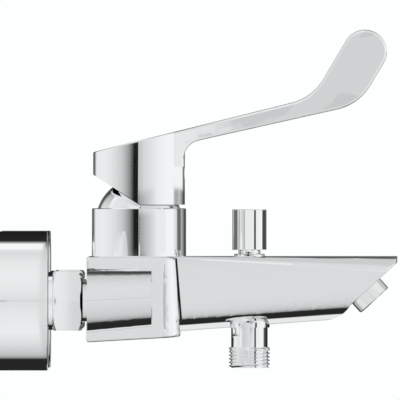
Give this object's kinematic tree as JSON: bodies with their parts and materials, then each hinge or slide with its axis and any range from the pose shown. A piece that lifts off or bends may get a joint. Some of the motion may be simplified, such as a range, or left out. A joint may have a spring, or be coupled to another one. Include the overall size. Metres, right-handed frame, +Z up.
{
  "type": "wall-mounted bath mixer tap",
  "caption": "Wall-mounted single-lever bath mixer with long arm lever, pull-up diverter on the spout, threaded hose outlet below and angled aerator.",
  "frame": {"origin": "point of the wall plane midway between the two inlets, at the height of the inlet axes", "axes": "+X out of the wall along the spout, +Y towards the left inlet (hot) as seen by the user, +Z up"},
  "size_m": [0.2205, 0.2204, 0.173],
  "materials": {
    "chrome": "bright chrome plate on brass and zinc castings, mirror polished",
    "raw_brass": "turned brass, unplated where it is hidden",
    "steel": "stainless steel, turned or drawn",
    "rubber": "black moulded rubber",
    "ceramic": "lapped white alumina",
    "white_plastic": "moulded engineering plastic",
    "indicator": "moulded plug, half red for hot and half blue for cold"
  },
  "bodies": {
    "body": {"aerator_housing": "chrome", "aerator_insert": "white_plastic", "aerator_washer": "rubber", "cartridge_base": "white_plastic", "cartridge_housing": "white_plastic", "cartridge_nut": "raw_brass", "check_valve_housing": "white_plastic", "check_valve_spring": "steel", "disc_seals": "rubber", "diverter_gland": "chrome", "diverter_seat_ring": "raw_brass", "diverter_spring": "steel", "dome_cap": "chrome", "eccentric_union_left": "raw_brass", "eccentric_union_right": "raw_brass", "escutcheon_left": "chrome", "escutcheon_right": "chrome", "fixed_disc": "ceramic", "gland_o_ring": "rubber", "hose_outlet_nipple": "chrome", "inlet_nipple_left": "chrome", "inlet_nipple_right": "chrome", "inlet_strainer_left": "steel", "inlet_strainer_right": "steel", "inlet_washer_left": "rubber", "inlet_washer_right": "rubber", "outlet_o_ring": "rubber", "port_seals": "rubber", "rod_seal": "rubber", "union_nut_left": "chrome", "union_nut_right": "chrome", "valve_body": "chrome"},
    "core": {"turning_core": "white_plastic", "spindle_pin": "steel", "temperature_stop_ring": "white_plastic"},
    "lever": {"lever": "chrome", "lever_spindle": "steel", "lever_grub_screw": "steel", "indicator_plug": "indicator"},
    "disc": {"disc_carrier": "white_plastic", "moving_disc": "ceramic"},
    "diverter": {"diverter_knob": "chrome", "diverter_rod": "steel", "diverter_piston": "raw_brass", "diverter_washer_lower": "rubber", "diverter_washer_upper": "rubber"},
    "check_poppet": {"check_valve_poppet": "white_plastic"}
  },
  "joints": [
    {"name": "mixing_turn", "type": "hinge", "parent": "body", "child": "core", "pos_m": [0.0709, 0, 0.0401], "axis": [0, 0, 1], "range_deg": [-50, 50]},
    {"name": "flow_lift", "type": "hinge", "parent": "core", "child": "lever", "pos_m": [0.0709, 0, 0.0401], "axis": [0, -1, 0], "range_deg": [0, 25]},
    {"name": "disc_slide", "type": "slide", "parent": "core", "child": "disc", "axis": [1, 0, 0], "range_m": [-0.0001, 0.00729]},
    {"name": "diverter_pull", "type": "slide", "parent": "body", "child": "diverter", "axis": [0, 0, 1], "range_m": [0, 0.008], "stiffness_N_per_m": 150, "springref_m": -0.01, "deforming": ["diverter_spring"]},
    {"name": "check_open", "type": "slide", "parent": "body", "child": "check_poppet", "axis": [0, 0, -1], "range_m": [0, 0.003], "stiffness_N_per_m": 100, "springref_m": -0.003, "deforming": ["check_valve_spring"]}
  ],
  "couplings": [
    {"joint": "disc_slide", "follows": "flow_lift", "m_per_rad": 0.016469}
  ]
}
